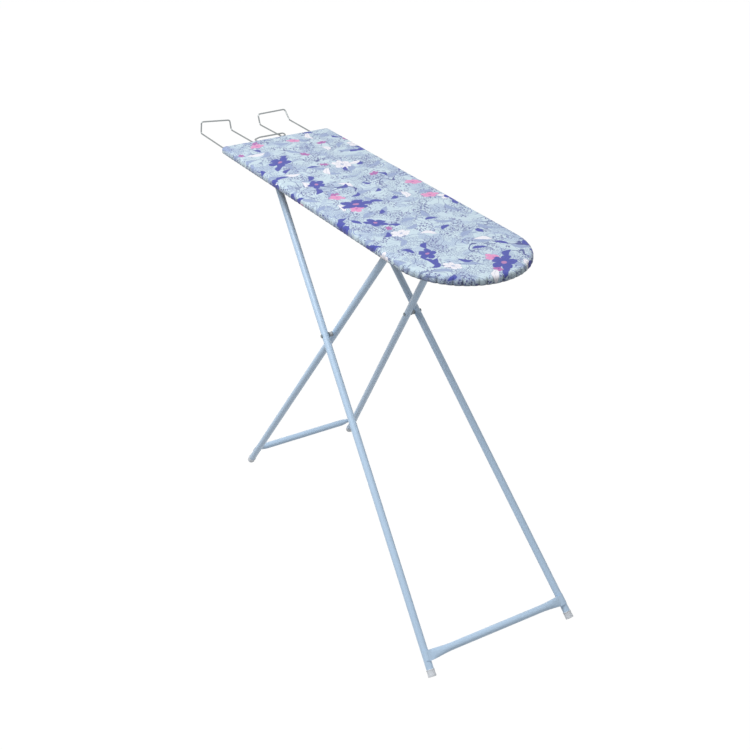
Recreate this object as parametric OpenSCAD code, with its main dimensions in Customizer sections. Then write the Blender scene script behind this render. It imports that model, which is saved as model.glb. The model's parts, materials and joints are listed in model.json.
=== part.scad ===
// Folding ironing board with crossed tube legs and a wire iron rest.
// Millimetres. The nose of the board points along +X, left is +Y, the feet stand on z = 0,
// and the origin is on the floor under the middle of the whole object.

/* [Board] */
// Length of the covered board from the square end to the nose
board_len = 1025; // [950:1:1080]
// Width of the covered board at the square end
board_w = 311; // [290:1:340]
// Width of the covered board where the nose starts
shoulder_w = 298; // [280:1:305]
// Length of the rounded nose
nose_len = 160; // [140:1:200]
// Corner radius at the square end
corner_r = 9; // [8:1:30]
// Thickness of the wooden panel
panel_t = 10; // [9:0.5:12]
// Thickness of the foam pad
pad_t = 5.5; // [3:0.5:6]
// Thickness of the cotton cover
cover_t = 1; // [0.8:0.1:1.4]
// Radius of the cover's top edge
edge_r = 7.5; // [7:0.5:9]
// Radius of the cover's bottom edge
under_r = 6; // [4:0.5:7]
// Room between the panel's edge and the cover for the cloth's folds
fold_room = 1.4; // [0.3:0.1:1.6]
// How far the hem reaches in under the panel
hem_w = 37; // [28:1:38]

/* [Legs] */
// Outside diameter of the leg tubes
tube_d = 17.5; // [15:0.1:19]
// Wall of the leg tubes
tube_wall = 1; // [0.8:0.1:1.5]
// Slope of the outer legs to the floor
outer_slope = 44.45; // [43:0.05:46]
// Slope of the inner legs to the floor
inner_slope = 53.7; // [52:0.05:55]
// Outer legs from the crossing rivet down to the foot
outer_lower = 826.6; // [780:0.1:860]
// Outer legs from the crossing rivet up to the hinge rod
outer_upper = 417.3; // [400:0.1:430]
// Crossing rivet's distance behind the middle of the board
cross_back = 14.2; // [5:0.1:25]
// Distance from the panel's underside to the hinge rod's axis
rod_drop = 23; // [21:0.5:26]
// Half the distance between the outer legs' axes at the rivets
outer_half = 129.3; // [128:0.1:132]
// How much each outer leg moves sideways per unit of length towards its foot
outer_splay = 0.0773; // [0.07:0.0001:0.08]
// Half the distance between the inner legs' axes at the rivets
inner_half = 101.7; // [100:0.1:103]
// How much each inner leg moves sideways per unit of length towards its foot
inner_splay = 0.0837; // [0.08:0.0001:0.09]

/* [Foot bars and caps] */
// Distance of the outer foot bar from the end of its legs
outer_bar_up = 45.5; // [40:0.5:70]
// Distance of the inner foot bar from the end of its legs
inner_bar_up = 53.5; // [40:0.5:70]
// Width of the flattened ends of the foot bars
flat_w = 24; // [22:0.5:27]
// Thickness of the flattened ends of the foot bars
flat_t = 2.2; // [2:0.1:3]
// Outside diameter of the foot caps
cap_d = 19.6; // [19.4:0.1:22]
// Length of the foot caps
cap_len = 17; // [15:1:30]
// How deep the floor cuts into the caps' lower rims
cap_worn = 2; // [1:0.1:3]

/* [Hinges] */
// Diameter of the rods at the top of the legs
rod_d = 8; // [7:0.1:9]
// Diameter of the crossing rivets
rivet_d = 5; // [4.5:0.1:6]
// Thickness of the steel of the brackets
plate_t = 2.5; // [2:0.1:3]
// Number of height notches in each rack
notch_count = 5; // [3:1:6]
// Distance from one height notch to the next
notch_pitch = 26; // [22:1:30]
// Depth of the height notches
notch_depth = 6; // [4:0.5:7]
// Half the distance between the two racks
rack_half = 48; // [40:1:52]

/* [Iron rest] */
// Diameter of the iron rest's wire
wire_d = 4; // [3.5:0.1:4.5]
// Distance from the panel's underside to the wire's axis
wire_drop = 5; // [4.8:0.1:6]
// How far the rest's loops reach past the square end, at their foot
rest_reach = 178; // [150:1:200]
// Height of the loops' top bars over the wires that carry them
rest_rise = 25.5; // [20:0.5:35]
// How far the loops' top bars lean outwards
rest_lean = 19; // [12:1:25]
// Half the distance between the wire's two outer legs
rest_half = 129; // [129:1:134]

/* [Hidden] */
$fn = 48;

left = 1;
right = -1;
slip = 0.05;             // radial clearance of the turning joints
tube_r = tube_d / 2;
rod_r = rod_d / 2;
rivet_r = rivet_d / 2;
cap_r = cap_d / 2;
wire_r = wire_d / 2;

// Heights follow from the legs that stand on the floor
outer_end_z = cap_r * cos(outer_slope) - cap_worn;
inner_end_z = cap_r * cos(inner_slope) - cap_worn;
cross_z = outer_end_z + outer_lower * sin(outer_slope);
rod_z = cross_z + outer_upper * sin(outer_slope);
under_z = rod_z + rod_drop;
top_z = under_z + panel_t + pad_t + cover_t;
inner_lower = (cross_z - inner_end_z) / sin(inner_slope);
inner_upper = outer_upper * sin(outer_slope) / sin(inner_slope);
hinge_x = -cross_back - outer_upper * cos(outer_slope);
rack_x = -cross_back + inner_upper * cos(inner_slope);

// The origin lies midway between the iron rest and the outer feet
rest_x = -board_len / 2 - rest_reach;
reach_back = -rest_x + rest_lean + wire_r;
reach_front = outer_lower * cos(outer_slope) - cross_back + cap_r * sin(outer_slope);
mid_x = (reach_back - reach_front) / 2;

// ---- Board ----

// Where the ellipse of the nose starts
nose_x = board_len / 2 - nose_len;

// Outline of the board, drawn in by `inset`
function outline(inset) =
    let (r = max(corner_r - inset, 3),
         back = -board_len / 2 + inset + r,
         side = board_w / 2 - inset - r)
    concat(
        [for (a = [180:18:270]) [back + r * cos(a), -side + r * sin(a)]],
        [for (a = [-90:5:90]) [nose_x + (nose_len - inset) * cos(a), (shoulder_w / 2 - inset) * sin(a)]],
        [for (a = [90:18:180]) [back + r * cos(a), side + r * sin(a)]]
    );

outline_n = len(outline(0));

function stack(levels) = [for (l = levels) each [for (p = outline(l[0])) [p[0], p[1], l[1]]]];

function band(k, next) = [for (i = [0:outline_n - 1])
    [k * outline_n + i, k * outline_n + (i + 1) % outline_n,
     next * outline_n + (i + 1) % outline_n, next * outline_n + i]];

// Shell through [inset, height] levels, from its top face round to its ceiling
module outline_shell(levels) {
    last = len(levels) - 1;
    polyhedron(stack(levels), concat(
        [[for (i = [outline_n - 1:-1:0]) i]],
        [for (k = [0:last - 1]) each band(k, k + 1)],
        [[for (i = [0:outline_n - 1]) last * outline_n + i]]
    ));
}

// Closed ring whose section goes through [inset, height] levels
module outline_ring(levels) {
    n = len(levels);
    polyhedron(stack(levels), [for (k = [0:n - 1]) each band(k, (k + 1) % n)]);
}

// The panel's edge leaves `fold_room` for the gathered cloth; its bottom edge is rounded as the cover's is
module board_panel() {
    r = under_r - cover_t - 0.3;
    from = under_r + fold_room - 0.3;
    color("burlywood") difference() {
        outline_shell(concat([[cover_t + fold_room, under_z + panel_t]],
            [for (a = [0:22.5:67.5]) [from - r * cos(a), under_z + under_r - cover_t - r * sin(a)]],
            [[from + 0.3, under_z]]
        ));
        for (p = concat(bracket_screw_points(), rack_screw_points(), clip_screw_points()))
            translate([p[0], p[1], under_z - 1]) cylinder(r = pilot_r, h = pilot_deep + 1);
    }
}

// The pad's rounded edge is concentric with the cover's and 0.3 mm inside it
module foam_pad() {
    r = edge_r - cover_t - 0.3;
    foot = asin((edge_r - cover_t - pad_t) / r);
    color("white") outline_shell(concat([[edge_r, top_z - cover_t]],
        [for (a = [72, 54, 36, foot]) [edge_r - r * cos(a), top_z - edge_r + r * sin(a)]]
    ));
}

module cover() {
    r = under_r - cover_t;
    low_centre = under_z + r;    // height of the centre of the bottom edge's arcs
    color("lightblue") outline_shell(concat(
        [for (a = [90:-18:0]) [edge_r * (1 - cos(a)), top_z - edge_r * (1 - sin(a))]],
        [for (a = [0:22.5:90]) [under_r * (1 - cos(a)), low_centre - under_r * sin(a)]],
        [[hem_w, under_z - cover_t], [hem_w, under_z]],
        [for (a = [90:-22.5:0]) [under_r - r * cos(a), low_centre - r * sin(a)]],
        [for (a = [0:30:90]) [cover_t + (edge_r - cover_t) * (1 - cos(a)),
            top_z - cover_t - (edge_r - cover_t) * (1 - sin(a))]]
    ));
}

module cover_elastic() {
    r = 1;
    color("white") outline_ring([for (a = [0:45:315])
        [hem_w + 2 + r * cos(a), under_z - 0.1 - r + r * sin(a)]]);
}

// ---- Screws ----

pilot_r = 1.65;
pilot_deep = 8;

// Round-headed screw that points up, with its cross-slotted head under z = 0
module screw(grip) {
    difference() {
        rotate_extrude() polygon([[0, -2], [2.2, -1.9], [3.3, -1.1], [3.6, 0], [1.6, 0],
            [1.6, grip + 6], [0, grip + 7.5]]);
        for (a = [45, 135]) rotate([0, 0, a]) translate([0, 0, -2]) cube([3.6, 0.8, 2], center = true);
    }
}

bracket_holes = [-16, 16];         // along the flange, from the hinge
bracket_hole_in = 12;              // from the ear's outer face
rack_holes = [0.12, 0.5, 0.88];    // along the rack, as shares of its length
rack_hole_in = 8;
clip_holes = [-7.2, 7.2];          // to each side of the wire
hole_r = 1.9;

function bracket_screw_points() = [for (s = [left, right], dx = bracket_holes)
    [hinge_x + dx, s * (bracket_y - bracket_hole_in)]];
function rack_screw_points() = [for (s = [left, right], share = rack_holes)
    [rack_x0 + share * rack_len, s * (rack_half - rack_hole_in)]];
function clip_screw_points() = [for (s = [left, right], x = clip_x, dy = clip_holes)
    [x, s * rest_half + dy]];

module bracket_screws() {
    color("silver") for (p = bracket_screw_points())
        translate([p[0], p[1], under_z - plate_t]) screw(plate_t);
}

module rack_screws() {
    color("silver") for (p = rack_screw_points()) translate([p[0], p[1], under_z - rack_t]) screw(rack_t);
}

module clip_screws() {
    color("silver") for (p = clip_screw_points())
        translate([p[0], p[1], under_z - cover_t - clip_t]) screw(cover_t + clip_t);
}

// ---- Hinge brackets and height racks ----

// The brackets stand just inside the outer legs
bracket_y = outer_half - outer_splay * outer_upper - tube_r - 2.2;

bracket_len = 50;
bracket_w = 22;
eye_r = 10.4;

// Outer face at y = 0, flange towards -Y, hinge hole on the Y axis
module pivot_bracket() {
    half = bracket_len / 2;
    difference() {
        union() {
            rotate([90, 0, 0]) linear_extrude(plate_t) {
                polygon([[-half, rod_drop], [half, rod_drop], [half, rod_drop - 5],
                    [9.5, -4], [-9.5, -4], [-half, rod_drop - 5]]);
                circle(r = eye_r);
            }
            translate([-half, -bracket_w, rod_drop - plate_t]) cube([bracket_len, bracket_w, plate_t]);
        }
        rotate([90, 0, 0]) translate([0, 0, -1]) cylinder(r = rod_r + slip, h = plate_t + 2);
        for (dx = bracket_holes) translate([dx, -bracket_hole_in, rod_drop - plate_t - 1])
            cylinder(r = hole_r, h = plate_t + 2);
    }
}

module pivot_bracket_left() {
    color("silver") translate([hinge_x, bracket_y, rod_z]) pivot_bracket();
}

module pivot_bracket_right() {
    color("silver") translate([hinge_x, -bracket_y, rod_z]) mirror([0, 1, 0]) pivot_bracket();
}

rack_t = 2;
rack_x0 = rack_x - 20;
rack_len = (notch_count - 1) * notch_pitch + 40;
// The teeth stop this far over the rod's axis, so that the rod passes under them as the legs fold
rack_gap = rod_r + 3.4;

// One notch: a round seat, a steep wall towards the nose and a ramp behind it
module notch() {
    circle(r = rod_r + 0.4);
    polygon([[rod_r + 0.4, 0], [rod_r + 0.4, -12], [-notch_pitch * 0.55, -12], [-2.5, 3.6]]);
}

// Stamped strip from the panel down to the teeth, with a screwed flange towards -Y
module height_rack() {
    depth = rod_drop - rack_gap;
    difference() {
        union() {
            translate([rack_x0, 0, rod_z + rack_gap]) rotate([90, 0, 0]) linear_extrude(rack_t) difference() {
                square([rack_len, depth]);
                for (k = [0:notch_count - 1])
                    translate([rack_x - rack_x0 + k * notch_pitch, notch_depth - rod_r]) notch();
            }
            translate([rack_x0, -15, under_z - rack_t]) cube([rack_len, 15, rack_t]);
        }
        for (share = rack_holes) translate([rack_x0 + share * rack_len, -rack_hole_in, under_z - rack_t - 1])
            cylinder(r = hole_r, h = rack_t + 2);
    }
}

module height_rack_left() {
    color("silver") translate([0, rack_half, 0]) height_rack();
}

module height_rack_right() {
    color("silver") mirror([0, 1, 0]) translate([0, rack_half, 0]) height_rack();
}

// ---- Leg frames ----
// Each frame is drawn flat, with +X from its crossing rivets to its feet and +Z on its front face.

module outer_frame() {
    translate([-cross_back, 0, cross_z]) rotate([0, outer_slope, 0]) children();
}

module inner_frame() {
    translate([-cross_back, 0, cross_z]) rotate([0, 180 - inner_slope, 0]) children();
}

// Puts children on a leg's axis: +Z runs down the leg, 0 is level with the rivets
module along_leg(side, half, splay) {
    translate([0, side * half, 0]) rotate([0, 0, side * atan(splay)]) rotate([0, 90, 0]) children();
}

leg_past_rod = 13;       // tube beyond the rod at the top of each leg
sole_t = 3;              // thickness of the caps' soles

function down_leg(u, splay) = u * sqrt(1 + splay * splay);

// One drilled leg tube
module leg(side, half, splay, upper, lower) {
    start = -down_leg(upper, splay) - leg_past_rod;
    end = down_leg(lower, splay) - sole_t;
    difference() {
        along_leg(side, half, splay) translate([0, 0, start]) difference() {
            cylinder(r = tube_r, h = end - start);
            translate([0, 0, -1]) cylinder(r = tube_r - tube_wall, h = end - start + 2);
        }
        translate([-upper, side * (half - splay * upper), 0]) rotate([90, 0, 0])
            cylinder(r = rod_r + slip, h = 4 * tube_r, center = true);
        translate([0, side * half, 0]) rotate([90, 0, 0])
            cylinder(r = rivet_r + slip, h = 4 * tube_r, center = true);
    }
}

// Plastic plug in the top of a leg
module leg_plug(side, half, splay, upper) {
    along_leg(side, half, splay) translate([0, 0, -down_leg(upper, splay) - leg_past_rod]) rotate_extrude()
        polygon([[0, -2], [4, -1.8], [6.6, -1.2], [tube_r, 0], [tube_r - tube_wall - slip, 0],
            [tube_r - tube_wall - slip, 7], [0, 7]]);
}

// Cup-shaped plastic cap on a foot, open towards the leg, with a bead round its mouth
module foot_cap(side, half, splay, lower) {
    end = down_leg(lower, splay);
    barrel_r = cap_r - 0.5;
    along_leg(side, half, splay) translate([0, 0, end - cap_len]) rotate_extrude()
        polygon([[tube_r + slip, 0], [cap_r - 0.4, 0], [cap_r + 0.2, 0.8], [cap_r + 0.2, 2.2], [barrel_r, 3],
            [barrel_r, cap_len - 7], [cap_r, cap_len - 5], [cap_r, cap_len - 0.8], [cap_r - 0.8, cap_len],
            [0, cap_len], [0, cap_len - sole_t], [tube_r + slip, cap_len - sole_t]]);
}

module above_floor() {
    depth = 60;
    difference() {
        children();
        translate([-board_len, -board_w, -depth]) cube([2 * board_len, 2 * board_w, depth]);
    }
}

// How a foot bar's ends are pressed flat: [share of the pressed run, roundness]
press = [[0, 0], [0.16, 0.34], [0.375, 0.66], [0.607, 0.87], [0.857, 0.985], [1, 0.985]];
press_from = 10;     // where the flat begins, in from the leg's axis
ring_sides = 32;
wrap_thin = 0.84;    // how much the rolled end thins towards its edges

function pressed_wide(roundness) = (flat_w + (tube_d - flat_w) * pow(roundness, 2)) / 2;
function pressed_thick(roundness) = (flat_t + (tube_d - flat_t) * roundness) / 2;

// Flattened end of a foot bar: rings of the tube's girth joined into one closed skin
module pressed_end(leg_y, run) {
    last = len(press) - 1;
    polyhedron(
        points = [for (stage = press) for (k = [0:ring_sides - 1]) let (turn = 360 * k / ring_sides)
            [pressed_wide(stage[1]) * cos(turn), leg_y - press_from - run * stage[0],
                pressed_thick(stage[1]) * sin(turn)]],
        faces = concat(
            [[for (k = [0:ring_sides - 1]) k]],
            [for (j = [0:last - 1]) for (k = [0:ring_sides - 1]) let (n = (k + 1) % ring_sides)
                [(j + 1) * ring_sides + n, j * ring_sides + n, j * ring_sides + k]],
            [for (j = [0:last - 1]) for (k = [0:ring_sides - 1]) let (n = (k + 1) % ring_sides)
                [(j + 1) * ring_sides + n, j * ring_sides + k, (j + 1) * ring_sides + k]],
            [[for (k = [ring_sides - 1:-1:0]) last * ring_sides + k]]
        )
    );
}

// Hollow of a foot bar, narrowing with its pressed ends
module bar_bore(leg_y, run) {
    reach = [for (stage = press) leg_y - press_from - run * stage[0]];
    rotate([90, 0, 0]) rotate_extrude() polygon([
        [0, -reach[1]], [pressed_thick(press[1][1]) - tube_wall, -reach[1]],
        [pressed_thick(press[2][1]) - tube_wall, -reach[2]], [pressed_thick(press[3][1]) - tube_wall, -reach[3]],
        [tube_r - tube_wall, -reach[5]], [tube_r - tube_wall, reach[5]],
        [pressed_thick(press[3][1]) - tube_wall, reach[3]], [pressed_thick(press[2][1]) - tube_wall, reach[2]],
        [pressed_thick(press[1][1]) - tube_wall, reach[1]], [0, reach[1]]
    ]);
}

// Foot bar: a tube whose ends are pressed flat over a run, and rolled round the front or the back of the legs,
// nesting against them by a given depth
module foot_bar(half, splay, at, front, run, nest, wrap_from) {
    leg_y = half + splay * at;
    lift = front * (tube_r + flat_t / 2 - nest);
    neck = leg_y - press_from - run * (press[4][0] + press[5][0]) / 2;
    difference() {
        union() {
            translate([at, 0, lift]) rotate([90, 0, 0]) cylinder(r = tube_r, h = 2 * neck, center = true);
            for (side = [left, right]) {
                translate([at, 0, lift]) mirror([0, side < 0 ? 1 : 0, 0]) pressed_end(leg_y, run);
                translate([at, side * (leg_y - 6), lift]) cube([flat_w, 14, flat_t], center = true);
                along_leg(side, half, splay) translate([0, 0, at - flat_w / 2]) intersection() {
                    scale([1, wrap_thin, 1]) cylinder(r = tube_r + flat_t - nest + 0.4, h = flat_w);
                    rotate([0, 0, front > 0 ? 0 : 180])
                        translate([-20, -20, -1]) cube([20 - wrap_from, 40, flat_w + 2]);
                }
            }
        }
        translate([at, 0, lift]) bar_bore(leg_y, run);
        for (side = [left, right]) along_leg(side, half, splay) translate([0, 0, at - 60])
            cylinder(r = tube_r + 0.03, h = 120);
    }
}

module outer_leg(side) {
    color("lightsteelblue") outer_frame() leg(side, outer_half, outer_splay, outer_upper, outer_lower);
}

module outer_leg_left() { outer_leg(left); }
module outer_leg_right() { outer_leg(right); }

module inner_leg(side) {
    color("lightsteelblue") inner_frame() leg(side, inner_half, inner_splay, inner_upper, inner_lower);
}

module inner_leg_left() { inner_leg(left); }
module inner_leg_right() { inner_leg(right); }

module outer_foot_bar() {
    color("lightsteelblue") outer_frame() foot_bar(outer_half, outer_splay, outer_lower - outer_bar_up, 1, 56, 0.4, 7.6);
}

module inner_foot_bar() {
    color("lightsteelblue") inner_frame() foot_bar(inner_half, inner_splay, inner_lower - inner_bar_up, -1, 30, 1.3, 8.3);
}

module outer_leg_plugs() {
    color("gainsboro") outer_frame() for (side = [left, right])
        leg_plug(side, outer_half, outer_splay, outer_upper);
}

module inner_leg_plugs() {
    color("gainsboro") inner_frame() for (side = [left, right])
        leg_plug(side, inner_half, inner_splay, inner_upper);
}

module outer_foot_cap(side) {
    color("whitesmoke") above_floor() outer_frame() foot_cap(side, outer_half, outer_splay, outer_lower);
}

module outer_foot_cap_left() { outer_foot_cap(left); }
module outer_foot_cap_right() { outer_foot_cap(right); }

module inner_foot_cap(side) {
    color("whitesmoke") above_floor() inner_frame() foot_cap(side, inner_half, inner_splay, inner_lower);
}

module inner_foot_cap_left() { inner_foot_cap(left); }
module inner_foot_cap_right() { inner_foot_cap(right); }

// ---- Rods, rivets, spacers and washers ----

outer_top_half = outer_half - outer_splay * outer_upper;
inner_top_half = inner_half - inner_splay * inner_upper;
rod_past_leg = 5;        // rod beyond the side of the leg, inside its cap
tilt_room = 0.75;        // room between a flat washer or head and the sloping side of a leg

// Turns a shape drawn along +Z to lie along Y on the given side, starting at y = from
module sideways(side, from) {
    translate([0, side * from, 0]) rotate([-90 * side, 0, 0]) children();
}

module washer(outside_r, hole, thick) {
    difference() {
        cylinder(r = outside_r, h = thick);
        translate([0, 0, -1]) cylinder(r = hole, h = thick + 2);
    }
}

module rod(half) {
    rotate([90, 0, 0]) cylinder(r = rod_r, h = 2 * (half + tube_r + rod_past_leg), center = true);
}

// Push-on caps at the ends of a rod
module rod_caps(half) {
    from = half + tube_r + tilt_room;
    for (side = [left, right]) sideways(side, from) rotate_extrude()
        polygon([[rod_r + slip, 0], [6.6, 0], [6.6, 2.5], [5, rod_past_leg + 0.8], [0, rod_past_leg + 1.2],
            [0, rod_past_leg - tilt_room + 0.05], [rod_r + slip, rod_past_leg - tilt_room + 0.05]]);
}

module hinge_rod() {
    color("silver") translate([hinge_x, 0, rod_z]) rod(outer_top_half);
}

module hinge_rod_caps() {
    color("dimgray") translate([hinge_x, 0, rod_z]) rod_caps(outer_top_half);
}

// Washers between the hinge brackets and the outer legs
module hinge_washers() {
    from = bracket_y + 0.1;
    color("silver") translate([hinge_x, 0, rod_z]) for (side = [left, right])
        sideways(side, from) washer(8, rod_r + slip, 1.2);
}

module rack_rod() {
    color("silver") translate([rack_x, 0, rod_z]) rod(inner_top_half);
}

module rack_rod_caps() {
    color("dimgray") translate([rack_x, 0, rod_z]) rod_caps(inner_top_half);
}

rivet_in = inner_half - tube_r - tilt_room;
rivet_out = outer_half + tube_r + tilt_room;
spacer_in = inner_half + tube_r + tilt_room;
spacer_out = outer_half - tube_r - tilt_room;
washer_t = 1;

// Rivet with a domed head outside and a rolled head inside
module cross_rivet(side) {
    len = rivet_out - rivet_in;
    color("dimgray") translate([-cross_back, 0, cross_z]) sideways(side, rivet_in) rotate_extrude()
        polygon([[0, -1.4], [3, -1.4], [4.2, -0.7], [4.4, 0], [rivet_r, 0], [rivet_r, len], [4.6, len],
            [4.4, len + 0.9], [3.2, len + 1.8], [0, len + 2.2]]);
}

module cross_rivet_left() { cross_rivet(left); }
module cross_rivet_right() { cross_rivet(right); }

module cross_spacer(side) {
    from = spacer_in + washer_t + slip;
    color("gainsboro") translate([-cross_back, 0, cross_z])
        sideways(side, from) washer(5.4, rivet_r + slip, spacer_out - spacer_in - 2 * (washer_t + slip));
}

module cross_spacer_left() { cross_spacer(left); }
module cross_spacer_right() { cross_spacer(right); }

module cross_washers() {
    color("dimgray") translate([-cross_back, 0, cross_z])
        for (side = [left, right], from = [spacer_in, spacer_out - washer_t])
            sideways(side, from) washer(6.2, rivet_r + slip, washer_t);
}

// ---- Iron rest ----

clip_t = 1.2;
clip_w = 12;
clip_x = [-board_len / 2 + 13, -board_len / 2 + 103];
rest_in_x = clip_x[1] + 11;    // inner ends of the wire, just past the second clips
wire_z = under_z - wire_drop;

// Saddle strap over one leg of the wire, screwed up through the hem
module rest_clip() {
    bore = wire_r + slip;
    rotate([90, 0, 90]) translate([0, 0, -clip_w / 2]) linear_extrude(clip_w) difference() {
        union() {
            circle(r = bore + clip_t);
            translate([-bore - clip_t, 0]) square([2 * (bore + clip_t), wire_drop - cover_t]);
            translate([-10.5, wire_drop - cover_t - clip_t]) square([21, clip_t]);
        }
        circle(r = bore);
        translate([-bore, 0]) square([2 * bore, wire_drop]);
    }
}

module rest_clips() {
    color("silver") difference() {
        for (side = [left, right], x = clip_x) translate([x, side * rest_half, wire_z]) rest_clip();
        for (p = clip_screw_points()) translate([p[0], p[1], wire_z]) cylinder(r = hole_r, h = 10);
    }
}

// Corners of the wire, from the right inner end to the left inner end, and the bend radius at each
loop_in = 48;            // inner side of each loop
cross_x = rest_x + 100;  // wire between the two loops
eye_y = loop_in + 2;     // eye at the cross wire's left end, where it turns into a loop
rest_corners = [
    [[rest_in_x, -rest_half + 12, 0], 0],
    [[rest_in_x, -rest_half, 0], 6],
    [[rest_x - 14, -rest_half, 0], 6],
    [[rest_x - 15, -rest_half + 4, rest_rise + 5], 5],
    [[rest_x - 6, -loop_in + 1, rest_rise], 5],
    [[rest_x + 1, -loop_in + 1, 0], 7],
    [[cross_x + 45, -loop_in + 6, 0], 5],
    [[cross_x + 45, -loop_in + 18.5, 0], 5],
    [[cross_x + 11, -loop_in + 19.5, 0], 8],
    [[cross_x, -loop_in + 39, 0], 12],
    [[cross_x, eye_y + 12, 0], 5],
    [[cross_x + 15, eye_y + 11, -2.2], 5],
    [[cross_x + 15, eye_y, -wire_d - 0.2], 5],
    [[cross_x - 15, eye_y, -wire_d - 0.4], 20],
    [[cross_x - 60, loop_in - 6.5, 0], 20],
    [[rest_x, loop_in - 8, 0], 7],
    [[rest_x - 10, loop_in - 8, rest_rise + 1], 6],
    [[rest_x - rest_lean, rest_half - 3, rest_rise - 0.5], 6],
    [[rest_x + 2, rest_half, 0], 7],
    [[rest_in_x, rest_half, 0], 6],
    [[rest_in_x, rest_half - 12, 0], 0]
];

function unit(v) = v / norm(v);
function turn_at(c, i) = acos(unit(c[i][0] - c[i - 1][0]) * unit(c[i + 1][0] - c[i][0]));
// Length that the bend at a corner takes off both its neighbours
function cut_at(c, i) = i == 0 || i == len(c) - 1 ? 0 : c[i][1] * tan(turn_at(c, i) / 2);

// Points round the bend at a corner, or the corner itself at an end of the wire
function bend_points(c, i) = cut_at(c, i) == 0 ? [c[i][0]] :
    let (u = unit(c[i][0] - c[i - 1][0]),
         inward = unit(cross(cross(u, c[i + 1][0] - c[i][0]), u)),
         middle = c[i][0] - u * cut_at(c, i) + inward * c[i][1],
         steps = ceil(turn_at(c, i) / 13))
    [for (k = [0:steps]) let (a = turn_at(c, i) * k / steps)
        middle + c[i][1] * (u * sin(a) - inward * cos(a))];

// Normals carried along a path without twist
function carried(t, k, acc) = k == len(t) ? acc :
    let (n = acc[k - 1]) carried(t, k + 1, concat(acc, [unit(n - (n * t[k]) * t[k])]));

// Round wire swept through the path's points
module swept_wire(p, r, sides) {
    n = len(p);
    t = [for (k = [0:n - 1]) unit(p[min(k + 1, n - 1)] - p[max(k - 1, 0)])];
    normals = carried(t, 1, [[0, 0, 1]]);
    points = [for (k = [0:n - 1], s = [0:sides - 1]) let (a = 360 * s / sides)
        p[k] + r * (cos(a) * normals[k] + sin(a) * cross(t[k], normals[k]))];
    polyhedron(points, concat(
        [[for (s = [0:sides - 1]) s]],
        [for (k = [0:n - 2], s = [0:sides - 1])
            let (here = k * sides, next = here + sides, s2 = (s + 1) % sides)
            [here + s, next + s, next + s2, here + s2]],
        [[for (s = [sides - 1:-1:0]) (n - 1) * sides + s]]
    ));
}

module iron_rest() {
    c = rest_corners;
    color("gray") translate([0, 0, wire_z])
        swept_wire([for (i = [0:len(c) - 1]) each bend_points(c, i)], wire_r, 12);
}

module place() { translate([mid_x, 0, 0]) children(); }

place() board_panel();
place() foam_pad();
place() cover();
place() cover_elastic();
place() pivot_bracket_left();
place() pivot_bracket_right();
place() height_rack_left();
place() height_rack_right();
place() bracket_screws();
place() rack_screws();
place() rest_clips();
place() clip_screws();
place() outer_leg_left();
place() outer_leg_right();
place() outer_foot_bar();
place() hinge_rod();
place() hinge_rod_caps();
place() hinge_washers();
place() outer_leg_plugs();
place() outer_foot_cap_left();
place() outer_foot_cap_right();
place() cross_rivet_left();
place() cross_rivet_right();
place() cross_spacer_left();
place() cross_spacer_right();
place() cross_washers();
place() inner_leg_left();
place() inner_leg_right();
place() inner_foot_bar();
place() rack_rod();
place() rack_rod_caps();
place() inner_leg_plugs();
place() inner_foot_cap_left();
place() inner_foot_cap_right();
place() iron_rest();
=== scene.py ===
# Ironing board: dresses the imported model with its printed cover, pad, paint, wire and small fittings.
import json
import math

import bpy
from mathutils import Matrix, Vector, noise


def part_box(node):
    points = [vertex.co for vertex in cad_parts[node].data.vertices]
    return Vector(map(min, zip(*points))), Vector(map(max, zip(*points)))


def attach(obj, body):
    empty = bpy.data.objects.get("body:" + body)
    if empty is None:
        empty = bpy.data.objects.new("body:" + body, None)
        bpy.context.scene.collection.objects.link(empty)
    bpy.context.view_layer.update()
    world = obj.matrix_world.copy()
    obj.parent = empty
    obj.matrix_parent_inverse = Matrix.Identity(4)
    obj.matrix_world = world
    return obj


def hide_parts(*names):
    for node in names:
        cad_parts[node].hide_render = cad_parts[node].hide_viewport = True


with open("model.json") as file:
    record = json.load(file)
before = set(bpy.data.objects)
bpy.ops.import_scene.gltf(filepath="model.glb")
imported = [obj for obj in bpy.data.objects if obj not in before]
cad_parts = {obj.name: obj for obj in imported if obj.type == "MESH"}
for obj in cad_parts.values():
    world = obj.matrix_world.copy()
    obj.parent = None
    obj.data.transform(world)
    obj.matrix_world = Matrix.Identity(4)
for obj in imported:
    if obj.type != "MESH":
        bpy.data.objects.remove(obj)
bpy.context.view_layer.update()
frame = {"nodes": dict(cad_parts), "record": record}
print("frame loaded:", len(frame["nodes"]), "nodes")


def makeActive(piece):
    # operators act on all that is selected, so everything is deselected first
    if bpy.context.object and bpy.context.object.mode != "OBJECT":
        bpy.ops.object.mode_set(mode="OBJECT")
    bpy.ops.object.select_all(action="DESELECT")
    piece.select_set(True)
    bpy.context.view_layer.objects.active = piece


def applyModifiers(piece):
    makeActive(piece)
    for modifier in list(piece.modifiers):
        bpy.ops.object.modifier_apply(modifier=modifier.name)


def smooth(piece, angle):
    makeActive(piece)
    bpy.ops.object.shade_smooth_by_angle(angle=math.radians(angle))


def dress(piece, material, body):
    piece.data.materials.clear()
    piece.data.materials.append(material)
    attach(piece, body)


def srgb(code):
    # a colour as it is seen, from six hex digits
    channels = [int(code[i:i + 2], 16) / 255 for i in (0, 2, 4)]
    return tuple(c / 12.92 if c <= 0.04045 else ((c + 0.055) / 1.055) ** 2.4 for c in channels) + (1,)


def feed(tree, socket, value):
    if isinstance(value, bpy.types.NodeSocket):
        tree.links.new(value, socket)
    else:
        socket.default_value = value


def calc(tree, operation, *values):
    node = tree.nodes.new("ShaderNodeMath")
    node.operation = operation
    for socket, value in zip(node.inputs, values):
        feed(tree, socket, value)
    return node.outputs[0]


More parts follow.
